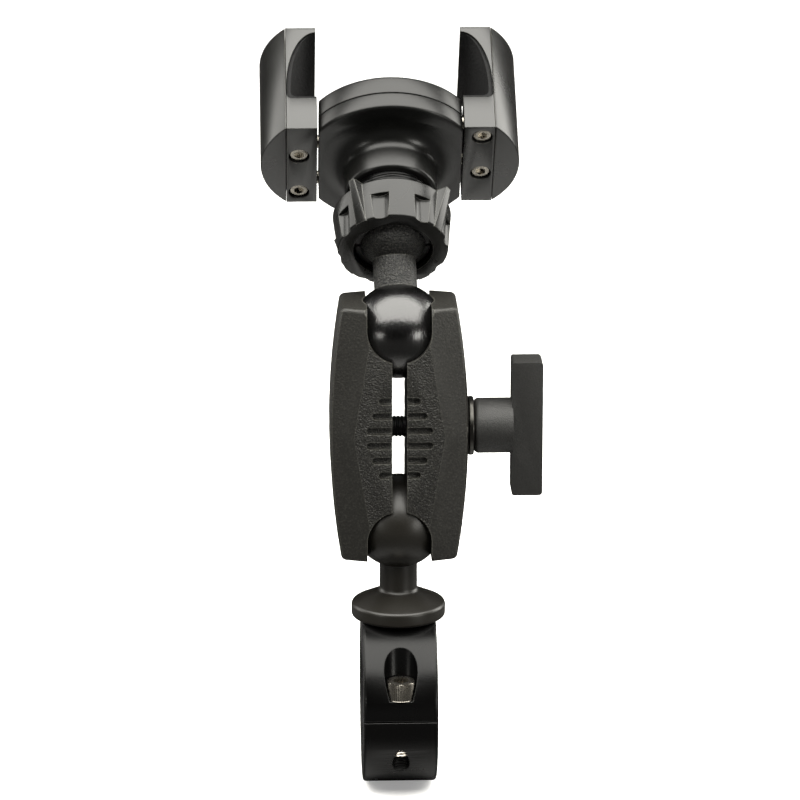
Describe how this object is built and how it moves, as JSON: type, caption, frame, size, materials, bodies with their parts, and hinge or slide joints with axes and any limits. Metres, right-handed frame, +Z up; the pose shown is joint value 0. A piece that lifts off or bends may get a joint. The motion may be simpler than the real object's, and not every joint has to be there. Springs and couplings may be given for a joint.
{
  "type": "phone handlebar mount",
  "caption": "Handlebar phone mount: split bar clamp, ball base, two-shell ball arm with a T-knob, ball stem and a round holder with two sprung sliding jaws that grip a phone.",
  "frame": {"origin": "centre of the handlebar bore in the split clamp", "axes": "X along the handlebar, towards the knob side; Z up along the arm, which is the longest extent; Y towards the rider, whom the phone faces"},
  "size_m": [0.0748, 0.0943, 0.1982],
  "materials": {
    "anodised_black": "satin black anodised aluminium",
    "turned_black": "turned aluminium, black anodised, satin",
    "cast_black": "die-cast, blasted and painted black, slightly rough",
    "nylon_black": "moulded glass-filled nylon, fine texture",
    "sleeve_rubber": "moulded rubber, matte",
    "pad_rubber": "moulded rubber, matte",
    "stainless": "stainless steel, turned",
    "spring_steel": "drawn spring wire, plated",
    "black_steel": "black oxide steel",
    "brass": "turned brass"
  },
  "bodies": {
    "bar_clamp": {"clamp_upper_half": "anodised_black", "bar_sleeve_upper": "sleeve_rubber", "ball_base_screw": "stainless"},
    "clamp_lower": {"clamp_lower_half": "anodised_black", "bar_sleeve_lower": "sleeve_rubber"},
    "screw_front": {"clamp_screw_front": "stainless"},
    "screw_rear": {"clamp_screw_rear": "stainless"},
    "base": {"ball_base": "turned_black"},
    "arm": {"arm_shell_left": "cast_black", "arm_bolt": "black_steel"},
    "arm_right": {"arm_shell_right": "cast_black", "washer_inner": "stainless"},
    "knob": {"knob": "nylon_black", "knob_insert": "brass", "washer_outer": "stainless"},
    "stem": {"ball_stem": "cast_black"},
    "socket": {"socket_collet": "nylon_black"},
    "holder": {"holder_housing": "anodised_black", "holder_cover": "anodised_black", "phone_pad": "pad_rubber", "cover_screws": "black_steel"},
    "nut": {"locking_nut": "anodised_black"},
    "right_jaw": {"right_jaw_block": "anodised_black", "right_jaw_cover": "anodised_black", "right_jaw_liner": "pad_rubber", "right_jaw_screws": "stainless", "right_guide_rods": "stainless", "right_springs": "spring_steel"},
    "left_jaw": {"left_jaw_block": "anodised_black", "left_jaw_cover": "anodised_black", "left_jaw_liner": "pad_rubber", "left_jaw_screws": "stainless", "left_guide_rods": "stainless", "left_springs": "spring_steel"}
  },
  "joints": [
    {"name": "clamp_open", "type": "slide", "parent": "bar_clamp", "child": "clamp_lower", "axis": [0, 0, -1], "range_m": [0, 0.0024]},
    {"name": "screw_front_turn", "type": "hinge", "parent": "bar_clamp", "child": "screw_front", "pos_m": [0, -0.02, 0.0056], "axis": [0, 0, 1], "range_deg": [0, 1080]},
    {"name": "screw_rear_turn", "type": "hinge", "parent": "bar_clamp", "child": "screw_rear", "pos_m": [0, 0.02, 0.0056], "axis": [0, 0, 1], "range_deg": [0, 1080]},
    {"name": "base_swivel", "type": "hinge", "parent": "bar_clamp", "child": "base", "pos_m": [0, 0, 0.0226], "axis": [0, 0, 1], "continuous": true},
    {"name": "arm_pitch", "type": "hinge", "parent": "base", "child": "arm", "pos_m": [0, 0, 0.0493], "axis": [1, 0, 0], "range_deg": [-75, 75]},
    {"name": "shell_open", "type": "slide", "parent": "arm", "child": "arm_right", "axis": [1, 0, 0], "range_m": [0, 0.0015]},
    {"name": "knob_turn", "type": "hinge", "parent": "arm_right", "child": "knob", "pos_m": [0.0203, 0, 0.0758], "axis": [1, 0, 0], "range_deg": [0, 540]},
    {"name": "stem_tilt", "type": "hinge", "parent": "arm", "child": "stem", "pos_m": [0, 0, 0.1023], "axis": [1, 0, 0], "range_deg": [-45, 105]},
    {"name": "holder_tilt", "type": "hinge", "parent": "stem", "child": "socket", "pos_m": [-0.00112, 0.01389, 0.12636], "axis": [1, 0, 0], "range_deg": [0, 46]},
    {"name": "holder_spin", "type": "hinge", "parent": "socket", "child": "holder", "pos_m": [-0.00112, 0.01389, 0.12636], "axis": [0, 0.7986, 0.6018], "continuous": true},
    {"name": "nut_turn", "type": "hinge", "parent": "holder", "child": "nut", "pos_m": [-0.00112, 0.01389, 0.12636], "axis": [0, 0.7986, 0.6018], "range_deg": [-180, 180]},
    {"name": "right_jaw_slide", "type": "slide", "parent": "holder", "child": "right_jaw", "axis": [1, 0, 0], "range_m": [0, 0.018], "stiffness_N_per_m": 300, "springref_m": -0.012, "deforming": ["right_springs"]},
    {"name": "left_jaw_slide", "type": "slide", "parent": "holder", "child": "left_jaw", "axis": [-1, 0, 0], "range_m": [0, 0.018], "stiffness_N_per_m": 300, "springref_m": -0.012, "deforming": ["left_springs"]}
  ],
  "couplings": [
    {"joint": "screw_front_turn", "follows": "clamp_open", "rad_per_m": 7854},
    {"joint": "screw_rear_turn", "follows": "clamp_open", "rad_per_m": 7854},
    {"joint": "knob_turn", "follows": "shell_open", "rad_per_m": 6283.2}
  ]
}
